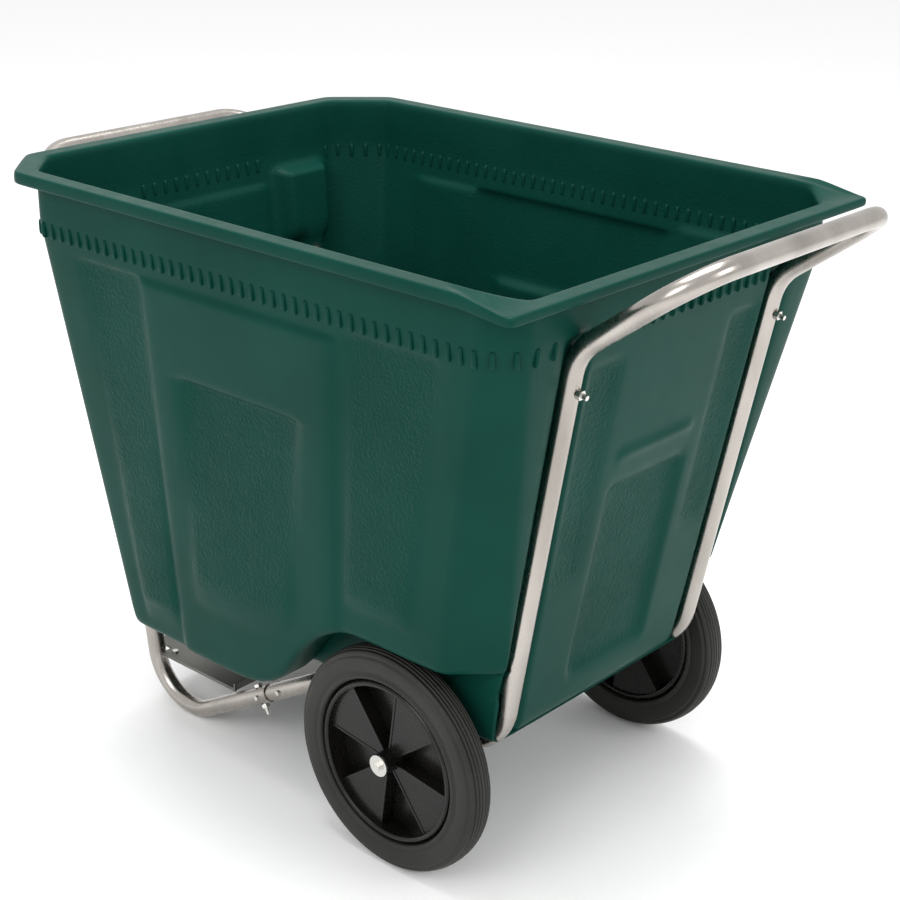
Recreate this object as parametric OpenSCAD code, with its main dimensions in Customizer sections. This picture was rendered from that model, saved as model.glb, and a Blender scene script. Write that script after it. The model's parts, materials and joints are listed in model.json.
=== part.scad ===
// Two-wheeled waste cart: a moulded plastic tub on two bent steel tube frames.
// Lengths are set out from the wheel axle, then shifted so that the origin is the middle of the footprint.

/* [Tub] */
// Half width of the tub at its collar
collar_half_w = 328; // [322:1:334]
// Distance from the axle forward to the collar's front face
collar_front = 629; // [625:1:633]
// Distance from the axle back to the collar's rear face
collar_rear = 237; // [234:1:240]
// Height of the foot of the collar
collar_z = 762; // [758:1:766]
// Height of the rim's top
rim_z = 830; // [828:1:834]
// Overhang of the rim beyond the collar
rim_out = 25; // [20:1:28]
// Depth of the rim's turned-down edge
lip_h = 16; // [12:1:20]
// Wall thickness of the moulding
wall = 4; // [3:0.5:5]
// Inward lean of the side walls in degrees
side_draft = 7.3; // [7:0.1:7.6]
// Inward lean of the front wall in degrees
front_draft = 6.5; // [6.2:0.1:6.8]
// Inward lean of the rear wall in degrees
rear_draft = 10.83; // [10.6:0.01:11]
// Height of the floor in front of the wheels
floor_z = 158; // [154:1:160]

/* [Tube frames] */
// Outside diameter of the steel tube
tube_d = 25.4; // [25:0.1:26]
// Wall of the steel tube
tube_t = 1.6; // [1.2:0.1:2]
// Centre-line radius of the bends
bend_r = 76; // [74:1:78]
// Height of the rear frame's level rails
rail_z = 185; // [183:1:186]
// Height of the grip above the ground
grip_z = 851.5; // [845:0.5:856]
// Distance of the grip behind the axle
grip_back = 381.5; // [376:0.5:386]
// Height of the front lift bar
bar_z = 803; // [799:1:806]
// Distance of the front lift bar in front of the axle
bar_front = 748; // [744:1:752]
// Fall of the foot tubes in degrees
foot_fall = 29.9; // [29:0.1:31]

/* [Wheels] */
// Outside radius of the tyres, which is also what the axle height follows
wheel_r = 152.4; // [150:0.2:154]
// Middle of each tyre from the middle of the cart
wheel_x = 250; // [249:0.5:252]
// Tyre width
tyre_w = 42; // [38:1:44]
// Axle diameter
axle_d = 15.88; // [15:0.01:17]
// Radial running clearance of the bushes on the axle
run_fit = 0.05; // [0.02:0.01:0.1]

/* [Fasteners] */
// Thread diameter of the frame bolts
bolt_d = 6.35; // [6:0.05:6.5]
// Width across the flats of their heads and nuts
bolt_af = 11.1; // [10:0.1:12]
// Height of the bolts through the rear legs
rear_bolt_z = 693; // [680:1:700]
// Height of the bolts through the front tubes
front_bolt_z = 610; // [600:1:620]

/* [Hidden] */
$fn = 48;

wheel_z = wheel_r;
bar_reach = bar_front + tube_d / 2;
grip_reach = grip_back + tube_d / 2;
shift_y = (grip_reach - bar_reach) / 2;
steel = [0.74, 0.73, 0.71];
zinc = [0.82, 0.82, 0.8];
green = [0.07, 0.29, 0.24];
black = [0.06, 0.06, 0.06];

// Each side's tubes lie in one plane, which leans out slightly with height.
function tube_x(z) = 183.3 + 0.0232 * z;
function side_pt(s, y, z) = [s * tube_x(z), y, z];
tube_tilt = atan(0.0232);

// Walls of the tub at height z
function half_w(z) = collar_half_w - (collar_z - z) * tan(side_draft);
function front_y(z) = collar_front - (collar_z - z) * tan(front_draft);
function rear_y(z) = -collar_rear + (collar_z - z) * tan(rear_draft);
function chamfer_front(z) = 61 - (collar_z - z) * 0.0232;
function chamfer_rear(z) = 37 + (collar_z - z) * 0.045;

// Plan outline with chamfered corners
function plan(w, yf, yr, cf, cr) = [
  [w - cf, yf], [w, yf - cf], [w, yr + cr], [w - cr, yr],
  [cr - w, yr], [-w, yr + cr], [-w, yf - cf], [cf - w, yf]];
function wall_plan(z, inset) = let(k = inset * 0.586)
  plan(half_w(z) - inset, front_y(z) - inset, rear_y(z) + inset, chamfer_front(z) - k, chamfer_rear(z) - k);
function collar_plan(out) = let(k = out * 0.586)
  plan(collar_half_w + out, collar_front + out, -collar_rear - out, 61 + k, 37 + k);
rim_plan = plan(collar_half_w + rim_out, collar_front + rim_out, -collar_rear - rim_out, 71, 8);

// Closed solid between a lower and an upper outline with the same number of corners
module loft(lower, z0, upper, z1) {
  n = len(lower);
  corners = concat([for (p = lower) [p[0], p[1], z0]], [for (p = upper) [p[0], p[1], z1]]);
  base = [for (i = [0 : n - 1]) n - 1 - i];
  top = [for (i = [0 : n - 1]) n + i];
  sides = [for (i = [0 : n - 1]) [i, (i + 1) % n, n + (i + 1) % n, n + i]];
  polyhedron(points = corners, faces = concat([base], [top], sides));
}

// A side-view outline given in Y and Z, drawn through from x0 to x1
module across(x0, x1) {
  multmatrix([[0, 0, 1, x0], [1, 0, 0, 0], [0, 1, 0, 0]]) linear_extrude(x1 - x0) children();
}

function arc(cy, cz, r, a0, a1, n) = [for (i = [0 : n])
  let(a = a0 + (a1 - a0) * i / n) [cy + r * cos(a), cz + r * sin(a)]];

// Frame geometry in the side plane
function unit(v) = v / norm(v);
foot_dir = [cos(foot_fall), -sin(foot_fall)];
front_dir = [sin(front_draft), cos(front_draft)];
leg_dir = [-sin(rear_draft), cos(rear_draft)];
rear_turn = 90 - rear_draft;
rear_corner_y = -145.1 + (300 - rail_z) * tan(rear_draft);
leg_top = [-229.2, 739.5];
front_line_y = 555.9;
foot_arc_z = tube_d / 2 + bend_r;
foot_turn = acos(foot_dir * front_dir);
foot_out = unit(foot_dir - front_dir) * (bend_r / cos(foot_turn / 2));
foot_corner_z = foot_arc_z + foot_out[1];
foot_corner_y = front_line_y + (foot_corner_z - 110) * tan(front_draft);
rail_front_y = foot_corner_y - (rail_z - foot_corner_z) / tan(foot_fall);
joint_y = 293;
front_start_y = 301;
joint_bolt_y = 321;
neck_far_y = 346;
function foot_line_z(y) = foot_corner_z + (foot_corner_y - y) * tan(foot_fall);
front_top_z = 745;
front_top_y = front_line_y + (front_top_z - 110) * tan(front_draft);

rear_path = [
  side_pt(-1, joint_y, foot_line_z(joint_y)), side_pt(-1, rail_front_y, rail_z),
  side_pt(-1, rear_corner_y, rail_z), side_pt(-1, leg_top[0], leg_top[1]), side_pt(-1, -grip_back, grip_z),
  side_pt(1, -grip_back, grip_z), side_pt(1, leg_top[0], leg_top[1]), side_pt(1, rear_corner_y, rail_z),
  side_pt(1, rail_front_y, rail_z), side_pt(1, joint_y, foot_line_z(joint_y))];
front_path = [
  side_pt(-1, front_start_y, foot_line_z(front_start_y)), side_pt(-1, foot_corner_y, foot_corner_z),
  side_pt(-1, front_top_y, front_top_z), side_pt(-1, bar_front, bar_z),
  side_pt(1, bar_front, bar_z), side_pt(1, front_top_y, front_top_z),
  side_pt(1, foot_corner_y, foot_corner_z), side_pt(1, front_start_y, foot_line_z(front_start_y))];

// Carries its child's Z axis onto the unit vector d, with the child's X along e
module along(p, e, d) {
  f = cross(d, e);
  multmatrix([[e[0], f[0], d[0], p[0]], [e[1], f[1], d[1], p[1]], [e[2], f[2], d[2], p[2]]]) children();
}

function any_side(d) = unit(cross(d, abs(d[0]) < 0.9 ? [1, 0, 0] : [0, 1, 0]));
function turn_at(path, i) = acos(unit(path[i] - path[i - 1]) * unit(path[i + 1] - path[i]));

// Round bar that follows straight runs with a true arc at each corner. Each straight run reaches a little way
// into its bends, which are a hair thinner, so that every seam is a clean step.
seam = 0.5;
bend_thin = 0.04;
module bent_bar(path, radii, d) {
  last = len(path) - 1;
  for (i = [0 : last - 1]) {
    dir = unit(path[i + 1] - path[i]);
    from_bend = i == 0 ? 0 : radii[i] * tan(turn_at(path, i) / 2) - seam;
    to_bend = i == last - 1 ? 0 : radii[i + 1] * tan(turn_at(path, i + 1) / 2) - seam;
    along(path[i] + dir * from_bend, any_side(dir), dir)
      cylinder(d = d, h = norm(path[i + 1] - path[i]) - from_bend - to_bend);
  }
  for (i = [1 : last - 1]) {
    d_in = unit(path[i] - path[i - 1]);
    out = unit(d_in - unit(path[i + 1] - path[i]));
    start = path[i] - d_in * radii[i] * tan(turn_at(path, i) / 2);
    radial = unit(out - d_in * (out * d_in));
    along(start - radial * radii[i], radial, cross(radial, d_in))
      rotate_extrude(angle = turn_at(path, i)) translate([radii[i], 0]) circle(d = d - bend_thin);
  }
}

module bent_tube(path, radii) {
  difference() {
    bent_bar(path, radii, tube_d);
    bent_bar(path, radii, tube_d - 2 * tube_t);
  }
}

rear_radii = [0, bend_r, bend_r, bend_r, 64, 64, bend_r, bend_r, bend_r, 0];
front_radii = [0, bend_r, bend_r, 60, 60, bend_r, bend_r, 0];

// Slots that let the tubes lie inside the thickness of the rear and front walls
slot_gap = tube_d / 2 + 3.2;
slot_w = 44;
leg_arc_y = rear_corner_y + bend_r * tan(rear_turn / 2);
leg_arc_z = rail_z + bend_r;
function leg_line_y(z) = -145.1 - (z - 300) * tan(rear_draft);
rear_slot_top = 770;
function rear_slot(grow) = let(top = rear_slot_top + grow) concat(
  [[-420, 100], [-420, top], [leg_line_y(top) + (slot_gap + grow) / cos(rear_draft), top]],
  arc(leg_arc_y, leg_arc_z, bend_r - slot_gap - grow, 180 + rear_draft, 270, 6),
  [[250, leg_arc_z - bend_r + slot_gap + grow], [250, 100]]);
front_slot_top = 757;
function tube_line_y(z) = front_line_y + (z - 110) * tan(front_draft);
function front_slot(grow) = let(top = front_slot_top + grow, off = (slot_gap + grow) / cos(front_draft)) [
  [tube_line_y(100) - off, 100], [760, 100], [760, top], [tube_line_y(top) - off, top]];

// The slots lean with the tubes
module tube_slots(outline, grow) {
  for (s = [-1, 1]) multmatrix([[1, 0, s * 0.0232, s * 183.3], [0, 1, 0, 0], [0, 0, 1, 0]])
    across(-slot_w / 2 - grow, slot_w / 2 + grow) polygon(outline);
}

well_x = 206;
well_top = 310;
well_arc = [45, 170];
rear_floor_z = rail_z + tube_d / 2 + 0.5;
floor_step_y = 200;
floor_front_y = floor_step_y + (rear_floor_z - floor_z) / tan(foot_fall);

module wheel_wells(grow) {
  r = well_top - well_arc[1] + grow;
  for (s = [0, 1]) mirror([s, 0, 0]) across(well_x - grow, 420) polygon(concat(
    [[-420, 0], [-420, well_top + grow]], arc(well_arc[0], well_arc[1], r, 90, 15, 6),
    [[240 + grow, floor_z], [240 + grow, 0]]));
}

module under_floor(grow) {
  rear_top = rear_floor_z + grow;
  front_top = floor_z + grow;
  across(-420, 420) polygon([[-420, 0], [-420, rear_top], [floor_step_y + grow / 3, rear_top],
    [floor_front_y + grow / 3, front_top], [700, front_top], [700, 0]]);
}

module tub_outer() {
  difference() {
    union() {
      loft(wall_plan(floor_z, 0), floor_z, wall_plan(collar_z, 0), collar_z);
      loft(collar_plan(-2), collar_z - 21, collar_plan(2), collar_z);
      loft(collar_plan(0), collar_z, collar_plan(0), rim_z);
      loft(rim_plan, rim_z - lip_h, rim_plan, rim_z);
    }
    under_floor(0);
    wheel_wells(0);
    tube_slots(rear_slot(0), 0);
    tube_slots(front_slot(0), 0);
    translate([-400, -400, rim_z - 10]) cube([800, 400 - collar_rear + 14, 40]);
  }
}

module tub_inner() {
  difference() {
    union() {
      loft(wall_plan(floor_z, wall), floor_z, wall_plan(collar_z, wall), collar_z);
      loft(collar_plan(-wall), collar_z, collar_plan(-wall), rim_z + 10);
    }
    under_floor(wall);
    wheel_wells(wall);
    tube_slots(rear_slot(wall), wall);
    tube_slots(front_slot(wall), wall);
    for (s = [0, 1]) mirror([s, 0, 0]) across(145, 223)
      polygon([[front_y(636) - 28, 640], [front_y(742) - 26, 742], [760, 742], [760, 636],
        [front_y(636) - 22, 636]]);
  }
}

// Groove under the rim, which leaves a flange with a turned-down edge
module rim_groove() {
  z0 = rim_z - lip_h - 1;
  difference() {
    loft(collar_plan(rim_out - wall), z0, collar_plan(rim_out - wall), rim_z - wall);
    translate([0, 0, -1]) loft(collar_plan(0), z0, collar_plan(0), rim_z + 2);
    translate([-400, -400, z0 - 5]) cube([800, 400 - collar_rear + 14, 60]);
    translate([-400, collar_front - 61, z0 - 5]) cube([800, 200, 60]);
  }
}

module tub() color(green) place() difference() {
  tub_outer();
  tub_inner();
  rim_groove();
  for (s = [-1, 1]) rear_bolt_at(s) translate([0, 0, -10]) cylinder(d = bolt_d + 0.6, h = 60);
  for (s = [-1, 1]) front_bolt_at(s) translate([0, 0, -10]) cylinder(d = bolt_d + 0.6, h = 60);
}

module place() translate([0, shift_y, 0]) children();

// Bolt axes run square to each wall, from the inside of the tub outwards; zero is the tube's centre line.
module rear_bolt_at(s) {
  z = rear_bolt_z;
  translate([s * tube_x(z), leg_line_y(z), z]) rotate([90 + rear_draft, 0, 0])
    translate([0, 0, -slot_gap - wall]) children();
}

module front_bolt_at(s) {
  z = front_bolt_z;
  translate([s * tube_x(z), tube_line_y(z), z]) rotate([-90 - front_draft, 0, 0])
    translate([0, 0, -slot_gap - wall]) children();
}

module foot_bolt_at(s) {
  y = joint_bolt_y;
  translate([s * tube_x(foot_line_z(y)), y, foot_line_z(y)]) rotate([-foot_fall, 0, 0]) children();
}

module bolt_holes() {
  for (s = [-1, 1]) rear_bolt_at(s) translate([0, 0, -5]) cylinder(d = bolt_d + 0.4, h = 70);
  for (s = [-1, 1]) front_bolt_at(s) translate([0, 0, -5]) cylinder(d = bolt_d + 0.4, h = 70);
  for (s = [-1, 1]) foot_bolt_at(s) translate([0, 0, -40]) cylinder(d = bolt_d + 0.4, h = 80);
}

// Narrowed end of each rear tube, which slides into the front tube
neck_d = tube_d - 2 * tube_t - 0.1;
module neck(s) {
  start = side_pt(s, joint_y, foot_line_z(joint_y));
  finish = side_pt(s, neck_far_y, foot_line_z(neck_far_y));
  dir = unit(finish - start);
  run = norm(finish - start);
  along(start - dir * 4, any_side(dir), dir) difference() {
    union() {
      cylinder(d = neck_d, h = run + 4);
      cylinder(d = tube_d - tube_t, h = 4);
    }
    translate([0, 0, -1]) cylinder(d = neck_d - 2 * tube_t, h = run + 6);
  }
}

module rear_handle_frame() color(steel) place() difference() {
  union() {
    bent_tube(rear_path, rear_radii);
    neck(-1);
    neck(1);
  }
  bolt_holes();
}

module front_frame() color(steel) place() difference() {
  bent_tube(front_path, front_radii);
  bolt_holes();
}

plate_z = 80;
plate_t = 3;
plate_rear = 376;
plate_front = 539;
plate_half = tube_x(plate_z) + 2;
plate_tongue = plate_half - 19;
module support_plate() color(steel) place() union() {
  translate([-plate_half, plate_rear, plate_z - plate_t])
    cube([2 * plate_half, plate_front - plate_rear, plate_t]);
  translate([-plate_half, plate_rear, plate_z - 1]) cube([2 * plate_half, plate_t, 9]);
  translate([-plate_tongue, plate_front - 10, plate_z - plate_t]) cube([2 * plate_tongue, 48, plate_t]);
  for (s = [-1, 1]) translate([s * (plate_half - 1.5) - 1.5, plate_rear, plate_z - 5])
    cube([3, plate_front - plate_rear, 5]);
}

module plate_rivets() color(zinc) place() for (s = [-1, 1])
  translate([s * (plate_half - 14), plate_front - 14, plate_z]) cylinder(d = 9, h = 2.4);

module axle() color(steel) place()
  translate([-275, 0, wheel_z]) rotate([0, 90, 0]) cylinder(d = axle_d, h = 550);

bracket_t = 6;
module axle_bracket(s) {
  x = s * tube_x(rail_z);
  difference() {
    translate([x - bracket_t / 2, 0, 0]) across(0, bracket_t)
      polygon(concat(arc(0, wheel_z, 16, 180, 360, 12), [[26, rail_z - 9], [-26, rail_z - 9]]));
    translate([x - 10, 0, wheel_z]) rotate([0, 90, 0]) cylinder(d = axle_d + 0.1, h = 20);
    translate([x, -60, rail_z]) rotate([-90, 0, 0]) cylinder(d = tube_d + 0.1, h = 120);
  }
}
module left_axle_bracket() color(steel) place() axle_bracket(-1);
module right_axle_bracket() color(steel) place() axle_bracket(1);

// Parts on the axle are drawn for the right side and mirrored for the left.
module on_axle(x) translate([x, 0, wheel_z]) rotate([0, 90, 0]) children();
module both_sides() {
  children();
  mirror([1, 0, 0]) children();
}

hub_in = 223;
hub_out = 277;
module ring(x0, x1, ro, ri) on_axle(x0) difference() {
  cylinder(r = ro, h = x1 - x0);
  translate([0, 0, -1]) cylinder(r = ri, h = x1 - x0 + 2);
}

module axle_spacers() color(zinc) place() both_sides() ring(191.2, 220.2, 11.5, axle_d / 2 + 0.1);
module inner_hub_washers() color(zinc) place() both_sides() ring(220.4, 222.6, 15, axle_d / 2 + 0.1);
module axle_end_washers() color(zinc) place() both_sides() ring(277.4, 279.2, 14.5, 4.2);
module axle_end_bolts() color(zinc) place() both_sides() union() {
  on_axle(279.2) cylinder(d = 12.8, h = 5.4, $fn = 6);
  on_axle(275) cylinder(d = 7.9, h = 5);
}

// Tyre section: rounded tread with three grooves and a stepped side wall
module tyre_section() {
  h = tyre_w / 2;
  difference() {
    polygon([[112, -15], [118, -h + 1.5], [128, -h], [142, -h + 2], [148.5, -h + 8], [wheel_r - 1, -7],
      [wheel_r, 0], [wheel_r - 1, 7], [148.5, h - 8], [142, h - 2], [128, h], [118, h - 1.5], [112, 15]]);
    for (g = [-9, -3, 3, 9]) translate([wheel_r - 3.4, g - 0.8]) square([8, 1.6]);
  }
}
module tyre() translate([wheel_x, 0, wheel_z]) rotate([0, 90, 0]) rotate_extrude($fn = 96) tyre_section();

// Wheel hub: a bored boss and a barrel joined by four fan panels at the outer face and four at the inner,
// with a radial wall wherever one steps back to the next
boss_r = 15;
fan_r = 104;
fan_first = 30;
root_r = 11.5;
module fan_sector(a) {
  rotate(a) polygon(concat([[root_r * cos(22.5), -root_r * sin(22.5)]],
    [for (i = [-3 : 3]) [fan_r * cos(7.5 * i), fan_r * sin(7.5 * i)]],
    [[root_r * cos(22.5), root_r * sin(22.5)]]));
}
module wheel_hub() translate([wheel_x, 0, wheel_z]) rotate([0, 90, 0]) difference() {
  union() {
    rotate_extrude($fn = 96)
      polygon([[103, -17], [106, -19], [111.7, -14.6], [111.7, 14.6], [106, 19], [103, 17]]);
    for (i = [0 : 3]) translate([0, 0, 6]) linear_extrude(4) fan_sector(90 * i + fan_first);
    for (i = [0 : 3]) translate([0, 0, -10]) linear_extrude(4) fan_sector(90 * i + fan_first + 45);
    for (i = [0 : 7]) rotate(45 * i + fan_first + 22.5) translate([12, -1.25, -10.5])
      cube([fan_r - 11.6, 2.5, 21]);
    translate([0, 0, hub_in - wheel_x]) cylinder(r = boss_r, h = hub_out - hub_in);
  }
  translate([0, 0, -40]) cylinder(r = axle_d / 2 + 2.5, h = 80);
}

module bushes() {
  wall_r = axle_d / 2 + 2.5;
  ring(hub_in, hub_in + 18, wall_r, axle_d / 2 + run_fit);
  ring(hub_out - 18, hub_out, wall_r, axle_d / 2 + run_fit);
}

module left_tyre() color([0.17, 0.17, 0.16]) place() mirror([1, 0, 0]) tyre();
module right_tyre() color([0.17, 0.17, 0.16]) place() tyre();
module left_wheel_hub() color(black) place() mirror([1, 0, 0]) wheel_hub();
module right_wheel_hub() color(black) place() wheel_hub();
module left_hub_bushes() color([0.85, 0.84, 0.8]) place() mirror([1, 0, 0]) bushes();
module right_hub_bushes() color([0.85, 0.84, 0.8]) place() bushes();

// A hexagon bolt with its head inside the tub and its thread out through the tube
bolt_grip = slot_gap + wall + tube_d / 2;
module hex_bolt(shank) {
  translate([0, 0, -6]) cylinder(d = bolt_af / cos(30), h = 4.4, $fn = 6);
  translate([0, 0, -1.8]) cylinder(d = bolt_d, h = shank + 1.8);
}
module hex_nut() difference() {
  cylinder(d = bolt_af / cos(30), h = 5.6, $fn = 6);
  translate([0, 0, -1]) cylinder(d = bolt_d + 0.1, h = 8);
}
module flat_washer(od) difference() {
  cylinder(d = od, h = 1.4);
  translate([0, 0, -1]) cylinder(d = bolt_d + 0.4, h = 4);
}

module leg_sides() for (s = [-1, 1]) rear_bolt_at(s) children();
module front_sides() for (s = [-1, 1]) front_bolt_at(s) children();
module rear_leg_bolts() color(zinc) place() leg_sides() hex_bolt(bolt_grip + 13);
module rear_leg_nuts() color(zinc) place() leg_sides() translate([0, 0, bolt_grip + 0.1]) hex_nut();
module rear_leg_inner_washers() color(zinc) place() leg_sides() translate([0, 0, -1.5]) flat_washer(22);
module front_tube_bolts() color(zinc) place() front_sides() hex_bolt(bolt_grip + 9);
module front_tube_nuts() color(zinc) place() front_sides() translate([0, 0, bolt_grip + 0.1]) hex_nut();
module front_tube_inner_washers() color(zinc) place() front_sides()
  translate([0, 0, -1.5]) flat_washer(22);

module joint_bolts() color(zinc) place() for (s = [-1, 1]) foot_bolt_at(s) {
  translate([0, 0, tube_d / 2]) cylinder(d = bolt_af / cos(30), h = 4.4, $fn = 6);
  translate([0, 0, -tube_d / 2 - 16]) cylinder(d = bolt_d, h = tube_d + 17);
}
module joint_nuts() color(zinc) place() for (s = [-1, 1]) foot_bolt_at(s)
  translate([0, 0, -tube_d / 2 - 5.8]) hex_nut();

// Small round heads on the outer side of each frame joint, one on each tube
module joint_rivets() color(zinc) place() for (s = [-1, 1], y = [joint_y - 21, joint_bolt_y - 4])
  translate([s * (tube_x(foot_line_z(y)) + tube_d / 2 + 0.05), y, foot_line_z(y)])
    rotate([0, s * 90, 0]) cylinder(d = 7, h = 2.5);

tub();
rear_handle_frame();
front_frame();
support_plate();
plate_rivets();
axle();
left_axle_bracket();
right_axle_bracket();
axle_spacers();
inner_hub_washers();
left_tyre();
right_tyre();
left_wheel_hub();
right_wheel_hub();
left_hub_bushes();
right_hub_bushes();
axle_end_washers();
axle_end_bolts();
rear_leg_bolts();
rear_leg_nuts();
rear_leg_inner_washers();
front_tube_bolts();
front_tube_nuts();
front_tube_inner_washers();
joint_bolts();
joint_nuts();
joint_rivets();
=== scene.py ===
import json
import math
import bmesh
import bpy
from mathutils import Matrix, Vector


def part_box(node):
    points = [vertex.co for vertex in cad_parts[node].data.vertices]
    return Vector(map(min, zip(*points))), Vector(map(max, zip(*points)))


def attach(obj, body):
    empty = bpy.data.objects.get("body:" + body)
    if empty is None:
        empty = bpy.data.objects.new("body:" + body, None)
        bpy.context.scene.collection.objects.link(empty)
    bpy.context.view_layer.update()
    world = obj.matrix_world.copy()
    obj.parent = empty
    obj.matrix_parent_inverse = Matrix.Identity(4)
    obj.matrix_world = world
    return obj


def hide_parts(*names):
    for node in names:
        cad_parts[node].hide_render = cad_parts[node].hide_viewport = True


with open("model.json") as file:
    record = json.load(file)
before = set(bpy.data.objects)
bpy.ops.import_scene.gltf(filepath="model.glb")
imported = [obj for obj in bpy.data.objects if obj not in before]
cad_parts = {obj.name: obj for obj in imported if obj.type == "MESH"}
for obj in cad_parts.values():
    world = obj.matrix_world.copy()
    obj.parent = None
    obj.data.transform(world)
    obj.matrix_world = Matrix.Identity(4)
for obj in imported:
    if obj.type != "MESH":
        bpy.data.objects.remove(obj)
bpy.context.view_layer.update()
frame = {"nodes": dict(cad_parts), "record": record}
mm = 0.001
nodes = frame["nodes"]
axleLow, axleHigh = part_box("axle")
axleY = (axleLow[1] + axleHigh[1]) / 2  # everything on the tub is set out from the axle
axleZ = (axleLow[2] + axleHigh[2]) / 2
print("stage: frame loaded, axle at", round(axleY, 4), round(axleZ, 4))


def newObject(name, data):
    piece = bpy.data.objects.new(name, data)
    bpy.context.scene.collection.objects.link(piece)
    return piece


def settle(piece, body):
    # turn a piece's modifiers into plain mesh, then say which body it rides on
    bpy.context.view_layer.update()
    made = bpy.data.meshes.new_from_object(piece.evaluated_get(bpy.context.evaluated_depsgraph_get()))
    piece.modifiers.clear()
    piece.data = made
    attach(piece, body)


def smoothAll(mesh):
    for face in mesh.polygons:
        face.use_smooth = True


def flattenNormals(piece):
    flatten = piece.modifiers.new("flatten", "WEIGHTED_NORMAL")
    flatten.weight = 60


def mix(a, b, t):
    return a + (b - a) * t


def ease(t):
    t = max(0.0, min(1.0, t))
    return t * t * (3 - 2 * t)


def startMaterial(name):
    material = bpy.data.materials.new(name)
    material.use_nodes = True
    tree = material.node_tree
    tree.nodes.clear()
    out = tree.nodes.new("ShaderNodeOutputMaterial")
    shader = tree.nodes.new("ShaderNodeBsdfPrincipled")
    place = tree.nodes.new("ShaderNodeTexCoord")
    tree.links.new(shader.outputs["BSDF"], out.inputs["Surface"])
    return material, tree, shader, place.outputs["Object"]


def addNoise(tree, place, scale, detail=3.0, stretch=(1, 1, 1)):
    mapping = tree.nodes.new("ShaderNodeMapping")
    mapping.inputs["Scale"].default_value = stretch
    noise = tree.nodes.new("ShaderNodeTexNoise")
    noise.inputs["Scale"].default_value = scale
    noise.inputs["Detail"].default_value = detail
    tree.links.new(place, mapping.inputs["Vector"])
    tree.links.new(mapping.outputs["Vector"], noise.inputs["Vector"])
    return noise.outputs["Fac"]


def addRange(tree, value, low, high, fromLow=0.3, fromHigh=0.7):
    node = tree.nodes.new("ShaderNodeMapRange")
    node.inputs["From Min"].default_value = fromLow
    node.inputs["From Max"].default_value = fromHigh
    node.inputs["To Min"].default_value = low
    node.inputs["To Max"].default_value = high
    tree.links.new(value, node.inputs["Value"])
    return node.outputs["Result"]


def addColourMix(tree, value, first, second):
    node = tree.nodes.new("ShaderNodeMix")
    node.data_type = "RGBA"
    node.inputs["A"].default_value = (*first, 1)
    node.inputs["B"].default_value = (*second, 1)
    tree.links.new(value, node.inputs["Factor"])
    return node.outputs["Result"]


def addMath(tree, kind, first, second):
    node = tree.nodes.new("ShaderNodeMath")
    node.operation = kind
    for socket, value in zip(node.inputs, (first, second)):
        if isinstance(value, (int, float)):
            socket.default_value = value
        else:
            tree.links.new(value, socket)
    return node.outputs["Value"]


def addBump(tree, height, distance, strength=1.0, below=None):
    node = tree.nodes.new("ShaderNodeBump")
    node.inputs["Distance"].default_value = distance
    node.inputs["Strength"].default_value = strength
    tree.links.new(height, node.inputs["Height"])
    if below is not None:
        tree.links.new(below, node.inputs["Normal"])
    return node.outputs["Normal"]


tubFinish = {
    "colour": (0.0026, 0.038, 0.0275),
    "lighter": (0.0040, 0.046, 0.034),
    "smoothRough": 0.33,
    "grainRough": 0.42,
    "pebbleScale": 230,
    "pebbleHeight": 0.002,
    "skinScale": 420,
    "skinHeight": 0.00008,
    "mottleScale": 7,
    "patchScale": 40,
    "patchRough": (-0.04, 0.05),
    "waveScale": 11,
    "waveHeight": 0.0008,
    "waveStrength": 0.5,
    "refraction": 1.5,
    "specular": 0.05,
}


def tubPlastic():
    material, tree, shader, place = startMaterial("tubPolyethylene")
    use = tubFinish
    mottle = addNoise(tree, place, use["mottleScale"], 4)
    tree.links.new(addColourMix(tree, addRange(tree, mottle, 0, 1), use["colour"], use["lighter"]),
                   shader.inputs["Base Color"])
    pebbleMask = tree.nodes.new("ShaderNodeAttribute")
    pebbleMask.attribute_name = "pebble"
    rough = addRange(tree, pebbleMask.outputs["Fac"], use["smoothRough"], use["grainRough"], 0, 1)
    patchy = addRange(tree, addNoise(tree, place, use["patchScale"]), *use["patchRough"])
    tree.links.new(addMath(tree, "ADD", rough, patchy), shader.inputs["Roughness"])
    shader.inputs["IOR"].default_value = use["refraction"]
    shader.inputs["Specular IOR Level"].default_value = use["specular"]
    pebble = addNoise(tree, place, use["pebbleScale"], 1.5)
    masked = addMath(tree, "MULTIPLY", pebble, pebbleMask.outputs["Fac"])
    first = addBump(tree, masked, use["pebbleHeight"])
    skin = addNoise(tree, place, use["skinScale"], 2)
    second = addBump(tree, skin, use["skinHeight"], 1.0, first)
    wave = addNoise(tree, place, use["waveScale"], 1)
    third = addBump(tree, wave, use["waveHeight"], use["waveStrength"], second)
    tree.links.new(third, shader.inputs["Normal"])
    return material


def metalFinish(name, colour, darker, rough, grain=260, stretch=(1, 1, 1), dents=0.00001):
    material, tree, shader, place = startMaterial(name)
    stain = addNoise(tree, place, 14, 4, stretch)
    tree.links.new(addColourMix(tree, addRange(tree, stain, 0, 1, 0.35, 0.75), colour, darker),
                   shader.inputs["Base Color"])
    shader.inputs["Metallic"].default_value = 1.0
    speck = addNoise(tree, place, grain, 3, stretch)
    tree.links.new(addRange(tree, speck, rough - 0.04, rough + 0.07), shader.inputs["Roughness"])
    tree.links.new(addBump(tree, speck, dents), shader.inputs["Normal"])
    return material


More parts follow.
